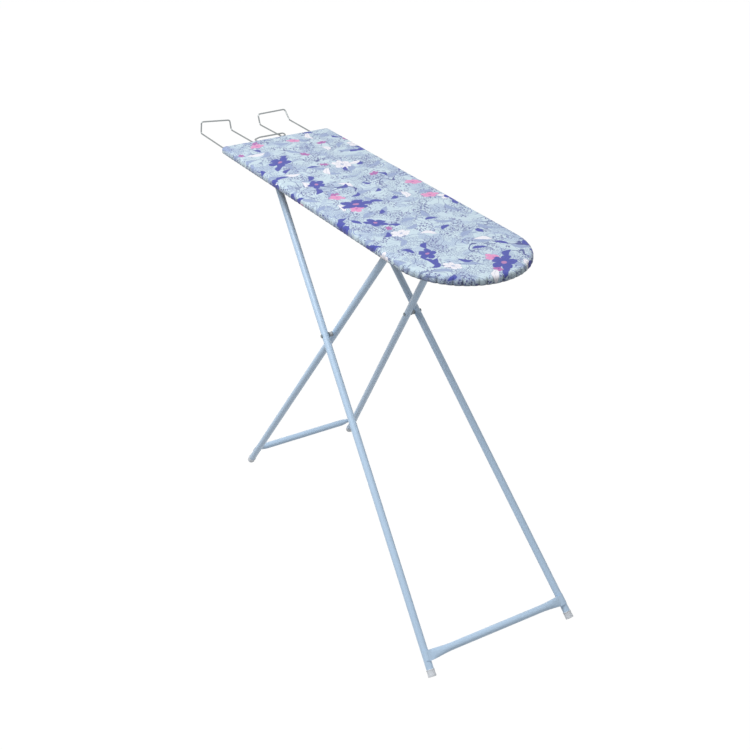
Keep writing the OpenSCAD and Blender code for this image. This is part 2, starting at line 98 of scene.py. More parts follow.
def times(tree, first, second):
    return calc(tree, "MULTIPLY", first, second)


def minus(tree, first, second):
    return calc(tree, "SUBTRACT", first, second)


def vectorCalc(tree, operation, *values):
    node = tree.nodes.new("ShaderNodeVectorMath")
    node.operation = operation
    for socket, value in zip(node.inputs, values):
        feed(tree, socket, value)
    return node.outputs["Value" if operation == "LENGTH" else "Vector"]


def blendColour(tree, share, first, second, mode="MIX"):
    node = tree.nodes.new("ShaderNodeMix")
    node.data_type = "RGBA"
    node.blend_type = mode
    feed(tree, node.inputs["Factor"], share)
    feed(tree, node.inputs["A"], first)
    feed(tree, node.inputs["B"], second)
    return node.outputs["Result"]


def sharpen(tree, value, softness):
    # 0 below zero, 1 above softness
    share = calc(tree, "DIVIDE", value, softness)
    share.node.use_clamp = True
    return share


def noiseOf(tree, vector, scale, detail=2, roughness=0.5, distortion=0, dimensions="3D", output="Fac"):
    node = tree.nodes.new("ShaderNodeTexNoise")
    node.noise_dimensions = dimensions
    settings = {"Vector": vector, "Scale": scale, "Detail": detail, "Roughness": roughness,
                "Distortion": distortion}
    for name, value in settings.items():
        feed(tree, node.inputs[name], value)
    return node.outputs[output]


def cellsOf(tree, vector, scale, feature="F1", dimensions="3D", randomness=1):
    node = tree.nodes.new("ShaderNodeTexVoronoi")
    node.voronoi_dimensions = dimensions
    node.feature = feature
    for name, value in (("Vector", vector), ("Scale", scale), ("Randomness", randomness)):
        feed(tree, node.inputs[name], value)
    return node.outputs


def partsOf(tree, value, kind="XYZ"):
    # X, Y and Z of a vector, or with kind Color the Red, Green and Blue of a colour
    node = tree.nodes.new("ShaderNodeSeparate" + kind)
    feed(tree, node.inputs[0], value)
    return node.outputs


def newGroup(name, inputs, outputs):
    # Vector, Local and Shift carry vectors, every other socket a number
    tree = bpy.data.node_groups.new(name, "ShaderNodeTree")
    for way, labels in (("INPUT", inputs), ("OUTPUT", outputs)):
        for label in labels:
            kind = "NodeSocketVector" if label in ("Vector", "Local", "Shift") else "NodeSocketFloat"
            tree.interface.new_socket(label, in_out=way, socket_type=kind)
    return tree, tree.nodes.new("NodeGroupInput").outputs, tree.nodes.new("NodeGroupOutput").inputs


def useGroup(tree, group, **values):
    node = tree.nodes.new("ShaderNodeGroup")
    node.node_tree = group
    for name, value in values.items():
        feed(tree, node.inputs[name[0].upper() + name[1:]], value)
    return node.outputs


def newMaterial(name, settings):
    material = bpy.data.materials.new(name)
    material.use_nodes = True
    tree = material.node_tree
    shader = tree.nodes["Principled BSDF"]
    for label, value in settings.items():
        shader.inputs[label].default_value = value
    return material, tree, shader


def bump(tree, shader, height, strength, distance):
    node = tree.nodes.new("ShaderNodeBump")
    node.inputs["Strength"].default_value = strength
    node.inputs["Distance"].default_value = distance
    tree.links.new(height, node.inputs["Height"])
    tree.links.new(node.outputs["Normal"], shader.inputs["Normal"])


def objectPoint(tree):
    return tree.nodes.new("ShaderNodeTexCoord").outputs["Object"]


cameraView = {
    "place": (2.328, -1.3091, 1.8967),
    "azimuth": 59.98,       # degrees round the object from its right side
    "elevation": 29.03,
    "roll": -0.54,
    "lens": 57.77,
    "sensor": 36,
    "nearest": 0.05,
    "farthest": 60,
}


def aimedFrom(azimuth, elevation, roll=0):
    a, e = math.radians(azimuth), math.radians(elevation)
    back = Vector((math.sin(a) * math.cos(e), -math.cos(a) * math.cos(e), math.sin(e)))
    right = Vector((math.cos(a), math.sin(a), 0))
    up = back.cross(right)
    turned = Matrix((right, up, back)).transposed() @ Matrix.Rotation(math.radians(roll), 3, "Z")
    return turned.to_euler()


bpy.ops.object.camera_add(location=cameraView["place"])
camera = bpy.context.object
camera.rotation_euler = aimedFrom(cameraView["azimuth"], cameraView["elevation"], cameraView["roll"])
camera.data.lens = cameraView["lens"]
camera.data.sensor_width = cameraView["sensor"]
camera.data.clip_start = cameraView["nearest"]
camera.data.clip_end = cameraView["farthest"]
bpy.context.scene.camera = camera
bpy.context.scene.view_settings.view_transform = "Standard"

studio = {
    "target": (0.0, 0.0, 0.5),
    "keyLamp": {"azimuth": -4, "elevation": 62, "distance": 3.6, "size": 2.4, "power": 104},
    "fillLamp": {"azimuth": 120, "elevation": 30, "distance": 4.2, "size": 3.2, "power": 8},
    "worldLight": 0.31,     # what the world gives the object
    "backdrop": 1.03,       # how bright the world looks where it is seen
    "floorSize": 16,
    "floorTone": 0.45,
    "floorRough": 0.9,
    "floorGlow": 0.92,      # share of plain white that the camera sees in the floor
    "floorWhite": 1.075,
}


def softLamp(name, azimuth, elevation, distance, size, power):
    turn = aimedFrom(azimuth, elevation)
    back = turn.to_matrix() @ Vector((0, 0, 1))
    bpy.ops.object.light_add(type="AREA", location=Vector(studio["target"]) + back * distance)
    lamp = bpy.context.object
    lamp.name = name
    lamp.rotation_euler = turn
    lamp.data.shape = "DISK"
    lamp.data.size = size
    lamp.data.energy = power


for name in ("keyLamp", "fillLamp"):
    softLamp(name, **studio[name])


def seenDirectly(tree):
    # 1 for rays from the camera, from gloss and through clear pieces
    path = tree.nodes.new("ShaderNodeLightPath").outputs
    seen = calc(tree, "MAXIMUM", path["Is Camera Ray"], path["Is Glossy Ray"])
    return calc(tree, "MAXIMUM", seen, path["Is Transmission Ray"])


world = bpy.data.worlds.new("studioWorld")
bpy.context.scene.world = world
world.use_nodes = True
sky = world.node_tree
skyShader = sky.nodes["Background"]
skyShader.inputs["Color"].default_value = (1, 1, 1, 1)
extra = times(sky, seenDirectly(sky), studio["backdrop"] - studio["worldLight"])
feed(sky, skyShader.inputs["Strength"], calc(sky, "ADD", studio["worldLight"], extra))

bpy.ops.mesh.primitive_plane_add(size=studio["floorSize"], location=(0, 0, 0))
floor = bpy.context.object
floor.name = "studioFloor"
floorMaterial, tree, shader = newMaterial("studioFloor", {"Roughness": studio["floorRough"]})
shader.inputs["Base Color"].default_value = (studio["floorTone"],) * 3 + (1,)
glow = tree.nodes.new("ShaderNodeEmission")
glow.inputs["Strength"].default_value = studio["floorWhite"]
mixed = tree.nodes.new("ShaderNodeMixShader")
tree.links.new(times(tree, seenDirectly(tree), studio["floorGlow"]), mixed.inputs[0])
tree.links.new(shader.outputs[0], mixed.inputs[1])
tree.links.new(glow.outputs[0], mixed.inputs[2])
tree.links.new(mixed.outputs[0], tree.nodes["Material Output"].inputs["Surface"])
floor.data.materials.append(floorMaterial)
print("camera, lights and floor set")


def makeScatterGroup():
    # one motif place per cell: the point seen from the motif, turned at random, and two random numbers
    tree, given, out = newGroup("scatterMotifs", ("Vector", "Cell", "Jitter", "Shift"),
                                ("Local", "Chance", "Variety"))
    place = vectorCalc(tree, "ADD", given["Vector"], given["Shift"])
    cells = cellsOf(tree, place, calc(tree, "DIVIDE", 1, given["Cell"]), dimensions="2D",
                    randomness=given["Jitter"])
    dice = partsOf(tree, cells["Color"], "Color")
    offset = partsOf(tree, vectorCalc(tree, "SUBTRACT", place, cells["Position"]))
    level = tree.nodes.new("ShaderNodeCombineXYZ")
    for axis in ("X", "Y"):
        tree.links.new(offset[axis], level.inputs[axis])
    turn = tree.nodes.new("ShaderNodeVectorRotate")
    turn.rotation_type = "Z_AXIS"
    feed(tree, turn.inputs["Vector"], level.outputs[0])
    feed(tree, turn.inputs["Angle"], times(tree, dice["Red"], 2 * math.pi))
    tree.links.new(turn.outputs[0], out["Local"])
    tree.links.new(dice["Green"], out["Chance"])
    tree.links.new(dice["Blue"], out["Variety"])
    return tree


flowerShape = {
    "roundness": 0.55, "raggedScale": 90, "raggedDetail": 1, "raggedFrom": 0.85, "raggedSpread": 0.3,
    "eye": 0.2, "veinsPerPetal": 3, "veinFrom": 0.86, "veinSoft": 0.08, "veinReach": 0.72,
}


def makeFlowerGroup():
    # open flower of rounded petals: filled shape, its outline, the eye and fine petal veins
    tree, given, out = newGroup("openFlower", ("Local", "Radius", "Petals", "Notch", "Line", "Soft"),
                                ("Fill", "Outline", "Eye", "Veins"))
    shape, soft = flowerShape, given["Soft"]
    axes = partsOf(tree, given["Local"])
    angle = calc(tree, "ARCTAN2", axes["Y"], axes["X"])
    reach = vectorCalc(tree, "LENGTH", given["Local"])
    half = times(tree, times(tree, angle, given["Petals"]), 0.5)
    lobes = calc(tree, "POWER", calc(tree, "ABSOLUTE", calc(tree, "COSINE", half)), shape["roundness"])
    torn = noiseOf(tree, given["Local"], shape["raggedScale"], shape["raggedDetail"], dimensions="2D")
    ragged = calc(tree, "MULTIPLY_ADD", torn, shape["raggedSpread"], shape["raggedFrom"])
    share = calc(tree, "MULTIPLY_ADD", lobes, minus(tree, 1, given["Notch"]), given["Notch"])
    rim = times(tree, times(tree, given["Radius"], share), ragged)
    inside = minus(tree, rim, reach)
    edge = minus(tree, given["Line"], calc(tree, "ABSOLUTE", inside))
    eye = minus(tree, times(tree, given["Radius"], shape["eye"]), reach)
    spokes = calc(tree, "COSINE", times(tree, half, 2 * shape["veinsPerPetal"]))
    rays = sharpen(tree, minus(tree, spokes, shape["veinFrom"]), shape["veinSoft"])
    short = sharpen(tree, minus(tree, times(tree, rim, shape["veinReach"]), reach), soft)
    tree.links.new(sharpen(tree, inside, soft), out["Fill"])
    tree.links.new(sharpen(tree, edge, soft), out["Outline"])
    tree.links.new(sharpen(tree, eye, soft), out["Eye"])
    tree.links.new(times(tree, rays, short), out["Veins"])
    return tree


def makeLeafGroup():
    # pointed leaf along X, bent a little, with a midrib
    tree, given, out = newGroup("pointedLeaf", ("Local", "Length", "Width", "Line", "Soft"),
                                ("Fill", "Outline", "Midrib"))
    soft = given["Soft"]
    axes = partsOf(tree, given["Local"])
    along = calc(tree, "DIVIDE", axes["X"], given["Length"])
    squared = times(tree, along, along)
    across = calc(tree, "ABSOLUTE", calc(tree, "ADD", axes["Y"], times(tree, squared, given["Width"])))
    inside = minus(tree, times(tree, minus(tree, 1, squared), given["Width"]), across)
    fill = sharpen(tree, inside, soft)
    edge = minus(tree, given["Line"], calc(tree, "ABSOLUTE", inside))
    rib = sharpen(tree, minus(tree, given["Line"], across), soft)
    tree.links.new(fill, out["Fill"])
    tree.links.new(sharpen(tree, edge, soft), out["Outline"])
    tree.links.new(times(tree, rib, fill), out["Midrib"])
    return tree


curlShape = {"tightness": 0.8, "turns": 1.6, "turnPitch": 0.6, "endSoft": 0.04}


def makeTendrilGroup():
    # curled line that winds in from its tail to its middle
    tree, given, out = newGroup("curledTendril", ("Local", "Radius", "Line", "Soft"), ("Fill",))
    axes = partsOf(tree, given["Local"])
    turns = calc(tree, "DIVIDE", calc(tree, "ARCTAN2", axes["Y"], axes["X"]), 2 * math.pi)
    reach = calc(tree, "DIVIDE", vectorCalc(tree, "LENGTH", given["Local"]), given["Radius"])
    wound = times(tree, calc(tree, "POWER", reach, curlShape["tightness"]), curlShape["turns"])
    beside = calc(tree, "FRACT", calc(tree, "ADD", minus(tree, wound, turns), 0.5))
    nearest = calc(tree, "ABSOLUTE", minus(tree, beside, 0.5))
    across = times(tree, times(tree, nearest, given["Radius"]), curlShape["turnPitch"])
    stroke = sharpen(tree, minus(tree, given["Line"], across), given["Soft"])
    ended = sharpen(tree, minus(tree, 1, reach), curlShape["endSoft"])
    tree.links.new(times(tree, stroke, ended), out["Fill"])
    return tree


weaveTone = {"scale": 900, "detail": 3, "roughness": 0.6}


def makeWeaveGroup():
    # height of a plain weave and its tiny changes of tone
    tree, given, out = newGroup("plainWeave", ("Vector", "Thread"), ("Height", "Tone"))
    axes = partsOf(tree, given["Vector"])
    waves = [calc(tree, "SINE", times(tree, calc(tree, "DIVIDE", axes[axis], given["Thread"]), math.pi))
             for axis in ("X", "Y")]
    tree.links.new(calc(tree, "MULTIPLY_ADD", times(tree, waves[0], waves[1]), 0.5, 0.5), out["Height"])
    tree.links.new(noiseOf(tree, given["Vector"], **weaveTone), out["Tone"])
    return tree


scatterMotifs, openFlower = makeScatterGroup(), makeFlowerGroup()
pointedLeaf, curledTendril, plainWeave = makeLeafGroup(), makeTendrilGroup(), makeWeaveGroup()

printColours = {
    "ground": "D3E5ED", "groundDeep": "C7DAE5", "wash": "B2C6DC", "line": "7785AE", "dot": "6F74A6",
    "mist": "9DAED0", "white": "F4F2F8", "pink": "E79DC8", "blush": "D893B8", "rose": "B871B2",
    "navy": "4E56AC", "navyDeep": "40478F", "leaf": "7482BE",
}
# widths of the drawn lines and how they waver, then how motifs are scattered and vary in size
printLines = {
    "soft": 0.0007, "thin": 0.00055, "curl": 0.0009, "waver": 0.0075, "waverScale": 42, "groundScale": 9,
    "jitter": 0.6, "sizeFrom": 0.75, "sizeSpread": 0.4, "patchSoft": 0.035,
}
# fillings of the ground: share is how strongly one shows, patch, from and shift say where it is drawn
printFields = {
    "wash": {"share": 0.14, "colour": "wash", "patch": 17, "from": 0.55, "shift": (0.3, 0.6, 0)},
    "net": {"share": 0.85, "colour": "line", "patch": 16, "from": 0.48, "shift": (0, 0, 0),
            "scale": 165, "width": 0.07},
    "hatch": {"share": 0.9, "colour": "mist", "patch": 19, "from": 0.53, "shift": (7.7, 3.1, 0),
              "pitch": 0.0034, "gap": 0.1},
    "seeds": {"share": 1, "colour": "dot", "patch": 21, "from": 0.52, "shift": (4.4, 1.2, 0),
              "scale": 150, "size": 0.3},
    "contour": {"share": 0.75, "colour": "line", "rings": 13, "width": 0.085,
                "drift": {"scale": 11, "detail": 1.5, "roughness": 0.4, "distortion": 0.6}},
    "stem": {"share": 0.9, "colour": "navyDeep", "patch": 12, "from": 0.52, "shift": (2.9, 8.8, 0),
             "width": 0.0062, "drift": {"scale": 9, "detail": 1.2, "roughness": 0.4, "distortion": 0.8}},
}
# motifs, each printed over those before it: pitch of its cells, share of cells used, size, and where its
# cells start, then stretch across its own axes, its shape and its tones
printMotifs = {
    "tendril": {"cell": 0.082, "used": 0.5, "radius": 0.03, "shift": (4.8, 1.7, 0), "fill": "leaf"},
    "paleLeaf": {"cell": 0.066, "used": 0.58, "radius": 0.024, "shift": (6.6, 6.1, 0),
                 "width": 0.0075, "fill": "mist", "line": "dot", "share": 0.95},
    "whiteLeaf": {"cell": 0.088, "used": 0.26, "radius": 0.025, "shift": (0.7, 5.3, 0),
                  "width": 0.0085, "fill": "white", "line": "line", "share": 0.95},
    "whiteFlower": {"cell": 0.11, "used": 0.22, "radius": 0.026, "shift": (1.3, 2.6, 0),
                    "stretch": (0.9, 1.25, 1), "petals": 6, "notch": 0.5,
                    "fill": "white", "eye": "mist", "line": "line"},
    "roseFlower": {"cell": 0.075, "used": 0.18, "radius": 0.0115, "shift": (8.4, 0.9, 0),
                   "stretch": (0.8, 1.2, 1), "petals": 5, "notch": 0.45,
                   "fill": "rose", "eye": "navy", "line": "rose"},
    "pinkFlower": {"cell": 0.098, "used": 0.27, "radius": 0.0185, "shift": (5.9, 4.2, 0),
                   "stretch": (0.85, 1.2, 1), "petals": 5, "notch": 0.52,
                   "fill": "pink", "eye": "rose", "line": "rose"},
    "navyLeaf": {"cell": 0.062, "used": 0.44, "radius": 0.0165, "shift": (2.2, 9.4, 0),
                 "width": 0.0062, "fill": "navy", "line": "navyDeep", "share": 1},
    "bigFlower": {"cell": 0.112, "used": 0.46, "radius": 0.031, "shift": (3.1, 7.7, 0),
                  "stretch": (0.85, 1.2, 1), "petals": 5, "notch": 0.5,
                  "fill": "navy", "eye": "blush", "line": "navyDeep",
                  "leaves": ((0.04, 0.007, 0), (-0.037, -0.014, 0))},
}
# leaf that goes with each large flower
flowerLeaf = {"length": 0.0175, "width": 0.0085, "fill": "navy", "line": "navyDeep", "share": 1}
# parts of a flower in their order, each with its tone and how strongly it is printed
flowerInk = (("Fill", "fill", 1), ("Veins", "line", 0.75), ("Outline", "line", 0.9), ("Eye", "eye", 0.7))


def handDrawn(tree, vector):
    # the same place pushed about a little, so that no shape is quite regular
    wave = noiseOf(tree, vector, printLines["waverScale"], dimensions="2D", output="Color")
    push = vectorCalc(tree, "SUBTRACT", wave, (0.5, 0.5, 0.5))
    return vectorCalc(tree, "MULTIPLY_ADD", push, (printLines["waver"],) * 3, vector)


def inkOver(tree, colour, share, tone):
    return blendColour(tree, share, colour, srgb(printColours[tone]))


def printField(tree, colour, vector, name, drawn):
    plan = printFields[name]
    if "patch" in plan:
        moved = vectorCalc(tree, "ADD", vector, plan["shift"])
        patch = minus(tree, noiseOf(tree, moved, plan["patch"]), plan["from"])
        drawn = times(tree, drawn, sharpen(tree, patch, printLines["patchSoft"]))
    return inkOver(tree, colour, times(tree, drawn, plan["share"]), plan["colour"])


def printedGround(tree, vector):
    # wash, netting, hatching, seeds, contour lines and stems under the motifs
    names = ("net", "hatch", "seeds", "contour", "stem")
    net, hatch, seeds, contour, stem = [printFields[name] for name in names]
    wide = noiseOf(tree, vector, printLines["groundScale"])
    colour = blendColour(tree, wide, srgb(printColours["ground"]), srgb(printColours["groundDeep"]))
    colour = printField(tree, colour, vector, "wash", 1)
    edges = cellsOf(tree, vector, net["scale"], "DISTANCE_TO_EDGE", "2D")["Distance"]
    colour = printField(tree, colour, vector, "net", calc(tree, "LESS_THAN", edges, net["width"]))
    rows = calc(tree, "SINE", times(tree, partsOf(tree, vector)["Y"], 2 * math.pi / hatch["pitch"]))
    colour = printField(tree, colour, vector, "hatch", calc(tree, "GREATER_THAN", rows, hatch["gap"]))
    spots = cellsOf(tree, vector, seeds["scale"], dimensions="2D")["Distance"]
    colour = printField(tree, colour, vector, "seeds", calc(tree, "LESS_THAN", spots, seeds["size"]))
    level = calc(tree, "FRACT", times(tree, noiseOf(tree, vector, **contour["drift"]), contour["rings"]))
    colour = printField(tree, colour, vector, "contour", calc(tree, "LESS_THAN", level, contour["width"]))
    path = calc(tree, "ABSOLUTE", minus(tree, noiseOf(tree, vector, **stem["drift"]), 0.5))
    return printField(tree, colour, vector, "stem", calc(tree, "LESS_THAN", path, stem["width"]))


def placeMotif(tree, vector, plan):
    cell = useGroup(tree, scatterMotifs, vector=vector, cell=plan["cell"], jitter=printLines["jitter"],
                    shift=plan["shift"])
    used = calc(tree, "LESS_THAN", cell["Chance"], plan["used"])
    varied = calc(tree, "MULTIPLY_ADD", cell["Variety"], printLines["sizeSpread"], printLines["sizeFrom"])
    local = vectorCalc(tree, "MULTIPLY", cell["Local"], plan.get("stretch", (1, 1, 1)))
    return local, used, times(tree, varied, plan["radius"])


def printTendril(tree, colour, local, used, size, plan):
    curl = useGroup(tree, curledTendril, local=local, radius=size, line=printLines["curl"],
                    soft=printLines["soft"])
    return inkOver(tree, colour, times(tree, curl["Fill"], used), plan["fill"])


def printLeaf(tree, colour, local, used, length, plan):
    leaf = useGroup(tree, pointedLeaf, local=local, length=length, width=plan["width"],
                    line=printLines["thin"], soft=printLines["soft"])
    filled = times(tree, times(tree, leaf["Fill"], used), plan["share"])
    colour = inkOver(tree, colour, filled, plan["fill"])
    edges = calc(tree, "MAXIMUM", leaf["Outline"], leaf["Midrib"])
    return inkOver(tree, colour, times(tree, edges, used), plan["line"])


def printFlower(tree, colour, local, used, size, plan):
    flower = useGroup(tree, openFlower, local=local, radius=size, petals=plan["petals"],
                      notch=plan["notch"], line=printLines["thin"], soft=printLines["soft"])
    for part, tone, share in flowerInk:
        drawn = times(tree, times(tree, flower[part], used), share)
        colour = inkOver(tree, colour, drawn, plan[tone])
    return colour


def floralPrint(tree, flat):
    vector = handDrawn(tree, flat)
    colour = printedGround(tree, vector)
    for plan in printMotifs.values():
        local, used, size = placeMotif(tree, vector, plan)
        for place in plan.get("leaves", ()):
            beside = vectorCalc(tree, "SUBTRACT", local, place)
            colour = printLeaf(tree, colour, beside, used, flowerLeaf["length"], flowerLeaf)
        if "petals" in plan:
            colour = printFlower(tree, colour, local, used, size, plan)
        elif "width" in plan:
            colour = printLeaf(tree, colour, local, used, size, plan)
        else:
            colour = printTendril(tree, colour, local, used, size, plan)
    return colour


cottonPlan = {
    "surface": {"Roughness": 0.82, "Sheen Weight": 0.25, "Sheen Roughness": 0.5, "Specular IOR Level": 0.3},
    "thread": 0.0006, "threadTone": "8C93AE", "threadShare": 0.3, "paintedShadeTone": "3E3E50",
    "weaveBump": 0.25, "weaveHeight": 0.0002,
}
coverCotton, tree, shader = newMaterial("coverCotton", cottonPlan["surface"])
cloth = tree.nodes.new("ShaderNodeUVMap")
cloth.uv_map = "flatCloth"
weave = useGroup(tree, plainWeave, vector=cloth.outputs[0], thread=cottonPlan["thread"])
printWithShade = blendColour(tree, times(tree, weave["Tone"], cottonPlan["threadShare"]),
                    floralPrint(tree, cloth.outputs[0]), srgb(cottonPlan["threadTone"]), "SOFT_LIGHT")
# painted shade: darkens the cloth's colour along the fold creases and towards the underside of the edge
paintedShadeNode = tree.nodes.new("ShaderNodeAttribute")
paintedShadeNode.attribute_name = "paintedCreaseShade"
printWithShade = blendColour(tree, paintedShadeNode.outputs["Fac"], printWithShade, srgb(cottonPlan["paintedShadeTone"]), "MULTIPLY")
tree.links.new(printWithShade, shader.inputs["Base Color"])
bump(tree, shader, weave["Height"], cottonPlan["weaveBump"], cottonPlan["weaveHeight"])
print("printed cotton made")


wearShape = {
    "driftScale": 0.12, "driftDetail": 3, "markDetail": 4, "markRough": 0.62, "from": 0.78, "soft": 0.02,
}


def makeWearGroup():
    # scattered marks where a surface has been rubbed, and a slow drift of tone
    tree, given, out = newGroup("handledWear", ("Vector", "Scale", "Share"), ("Marks", "Drift", "Grain"))
    wide = noiseOf(tree, given["Vector"], times(tree, given["Scale"], wearShape["driftScale"]),
                   wearShape["driftDetail"])
    fine = noiseOf(tree, given["Vector"], given["Scale"], wearShape["markDetail"], wearShape["markRough"])
    both = calc(tree, "MULTIPLY_ADD", wide, 0.5, times(tree, fine, 0.5))
    worn = minus(tree, both, minus(tree, wearShape["from"], given["Share"]))
    tree.links.new(sharpen(tree, worn, wearShape["soft"]), out["Marks"])
    tree.links.new(wide, out["Drift"])
    tree.links.new(fine, out["Grain"])
    return tree


handledWear = makeWearGroup()

# what a finish has unless it says otherwise
plainFinish = {
    "metallic": 0, "coat": 0, "coatRough": 0.2, "clear": 0, "ior": 1.5, "stretch": (1, 1, 1),
    "worn": 0.1, "markShare": 0.8, "markRough": 0.15, "skinHeight": 0.0004,
}
finishes = {
    "tubePaint": {"light": "C7E1FA", "dark": "BED9F4", "mark": "A9BDD6", "rough": 0.4, "roughRange": 0.03,
                  "scale": 60, "worn": 0.03, "skinScale": 110, "skin": 0.004, "coat": 0.35,
                  "coatRough": 0.25},
    "zincPlate": {"light": "A9ADB0", "dark": "8F9396", "mark": "73777A", "rough": 0.4, "roughRange": 0.22,
                  "scale": 160, "worn": 0.14, "skinScale": 500, "skin": 0.15, "metallic": 1},
    "zincWire": {"light": "A0A5A6", "dark": "8A8F91", "mark": "686D70", "rough": 0.36, "roughRange": 0.16,
                 "scale": 120, "worn": 0.12, "skinScale": 600, "skin": 0.15, "metallic": 1},
    "brightRod": {"light": "A2A5A8", "dark": "8B8E91", "mark": "65686B", "rough": 0.28, "roughRange": 0.14,
                  "scale": 140, "skinScale": 900, "skin": 0.1, "metallic": 1, "stretch": (1, 0.08, 1)},
    "darkSteel": {"light": "97A2A8", "dark": "7F8A90", "mark": "A9B0B4", "rough": 0.42, "roughRange": 0.15,
                  "scale": 150, "worn": 0.12, "skinScale": 800, "skin": 0.1, "metallic": 0.35},
    "capVinyl": {"light": "EFF4FA", "dark": "E2E9F2", "mark": "D2DAE4", "rough": 0.36, "roughRange": 0.1,
                 "scale": 110, "skinScale": 400, "skin": 0.05, "clear": 0.08, "ior": 1.45},
    "greyNylon": {"light": "B9BDC0", "dark": "A9ADB1", "mark": "8D9093", "rough": 0.5, "roughRange": 0.12,
                  "scale": 130, "skinScale": 500, "skin": 0.15},
    "elasticCord": {"light": "E6E6E2", "dark": "D6D6D0", "mark": "BDBCB4", "rough": 0.85,
                    "roughRange": 0.08, "scale": 200, "skinScale": 1800, "skin": 0.6},
    "stitchThread": {"light": "E9ECF2", "dark": "D5DAE4", "mark": "B7BCC8", "rough": 0.8,
                     "roughRange": 0.08, "scale": 300, "skinScale": 3000, "skin": 0.5},
}


def coatedMaterial(name, given):
    # paint, plate, moulding or thread: base tone that drifts, worn marks in a second tone, and a fine skin
    plan = {**plainFinish, **given}
    material, tree, shader = newMaterial(name, {
        "Metallic": plan["metallic"], "Coat Weight": plan["coat"], "Coat Roughness": plan["coatRough"],
        "Transmission Weight": plan["clear"], "IOR": plan["ior"]})
    stretched = vectorCalc(tree, "MULTIPLY", objectPoint(tree), plan["stretch"])
    wear = useGroup(tree, handledWear, vector=stretched, scale=plan["scale"], share=plan["worn"])
    tone = blendColour(tree, wear["Drift"], srgb(plan["light"]), srgb(plan["dark"]))
    tone = blendColour(tree, times(tree, wear["Marks"], plan["markShare"]), tone, srgb(plan["mark"]))
    tree.links.new(tone, shader.inputs["Base Color"])
    smoothest = plan["rough"] - plan["roughRange"] / 2
    rough = calc(tree, "MULTIPLY_ADD", wear["Grain"], plan["roughRange"], smoothest)
    rough = calc(tree, "MULTIPLY_ADD", wear["Marks"], plan["markRough"], rough)
    tree.links.new(rough, shader.inputs["Roughness"])
    bump(tree, shader, noiseOf(tree, stretched, plan["skinScale"]), plan["skin"], plan["skinHeight"])
    return material


coated = {name: coatedMaterial(name, plan) for name, plan in finishes.items()}

chipPlan = {"light": "B48A5C", "middle": "93693F", "dark": "6B4A2B", "scale": 260, "stretch": (1, 0.4, 1),
            "rough": 0.78, "darkFrom": 0.72, "darkSoft": 0.2, "bump": 0.3, "height": 0.0003}
chipboard, tree, shader = newMaterial("chipboard", {"Roughness": chipPlan["rough"]})
stretched = vectorCalc(tree, "MULTIPLY", objectPoint(tree), chipPlan["stretch"])
chips = partsOf(tree, cellsOf(tree, stretched, chipPlan["scale"])["Color"], "Color")
tone = blendColour(tree, chips["Red"], srgb(chipPlan["light"]), srgb(chipPlan["middle"]))
deep = sharpen(tree, minus(tree, chips["Green"], chipPlan["darkFrom"]), chipPlan["darkSoft"])
tree.links.new(blendColour(tree, deep, tone, srgb(chipPlan["dark"])), shader.inputs["Base Color"])
bump(tree, shader, chips["Blue"], chipPlan["bump"], chipPlan["height"])

foamPlan = {"light": "ECEBE4", "dark": "CFCDC2", "cells": 900, "rough": 0.95, "bump": 0.6, "height": 0.0006}
openFoam, tree, shader = newMaterial("openFoam", {"Roughness": foamPlan["rough"]})
pores = cellsOf(tree, objectPoint(tree), foamPlan["cells"])["Distance"]
tone = blendColour(tree, pores, srgb(foamPlan["dark"]), srgb(foamPlan["light"]))
tree.links.new(tone, shader.inputs["Base Color"])
bump(tree, shader, pores, foamPlan["bump"], foamPlan["height"])
print("finishes made:", len(coated) + 3)


coverLow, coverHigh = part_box("cover")
panelLow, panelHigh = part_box("board_panel")
# outline of the covered board; shoulderWidth is its width where the nose begins
board = {
    "back": coverLow.x, "length": coverHigh.x - coverLow.x, "width": coverHigh.y - coverLow.y,
    "top": coverHigh.z, "under": panelLow.z,
    "shoulderWidth": 0.298, "noseLength": 0.16, "cornerRadius": 0.009, "leastCorner": 0.003,
    "sideRows": 330, "noseRows": 150, "cornerRows": 8, "columns": 24,
}
# how the cloth goes round the edge, and the rolled hem under the board
sewing = {
    "edgeRadius": 0.0075, "turnRadius": 0.0056, "hemReach": 0.037,
    "clothThick": 0.0006, "clothGap": 0.0008, "ripple": 0.00035, "rippleGrain": (16, 22, 2.2),
    "edgeSteps": 6, "wallStep": 0.0015, "turnSteps": 5, "hemSteps": 5,
    "rollHalfWidth": 0.0023, "rollHalfHeight": 0.0011,
    "rollSteps": 10, "rollFrom": 20, "rollTurn": 34,    # degrees where the roll begins, and in one step
    "rollCloth": 0.4,       # cloth in one step of the roll, in its half widths
}
# gathered folds: their width and swell, where they begin and grow, how uneven they are, and their painted
# shade in the creases and towards the underside
pleats = {
    "width": 0.0165, "side": 0.0034, "under": 0.0014, "hemShare": 0.6,
    "sideShare": 0.55, "sideFrom": 0.012, "sideGrow": 0.05, "beforeNose": 0.03, "noseGrow": 0.075,
    "wobble": (((60, 3.7, 0), 0.9), ((22, 9.1, 0), 1.3)),       # grain and size of each part of the wobble
    "strengthFrom": 0.45, "strengthSpread": 1.9, "strengthGrain": (35, 1.2, 4.4),
    "roundness": 0.4, "middle": 0.85, "deepest": -0.45, "sharpness": 3.6,
    "ease": 0.00018, "easeGrain": (14, 90, 0.5),
    "shadeReach": 0.25, "underShade": 0.5, "underPower": 5,
}
noseX = board["back"] + board["length"] - board["noseLength"]
hemPleat = pleats["under"] * pleats["hemShare"]


def halfWidthAt(x, inset):
    corner = max(board["cornerRadius"] - inset, board["leastCorner"])
    start = board["back"] + inset
    wide, narrow = board["width"] / 2 - inset, board["shoulderWidth"] / 2 - inset
    if x < start + corner:
        return wide - corner + math.sqrt(max(corner ** 2 - (start + corner - x) ** 2, 0))
    if x < noseX:
        return wide + (narrow - wide) * (x - start - corner) / (noseX - start - corner)
    return narrow * math.sqrt(max(1 - ((x - noseX) / (board["noseLength"] - inset)) ** 2, 0))


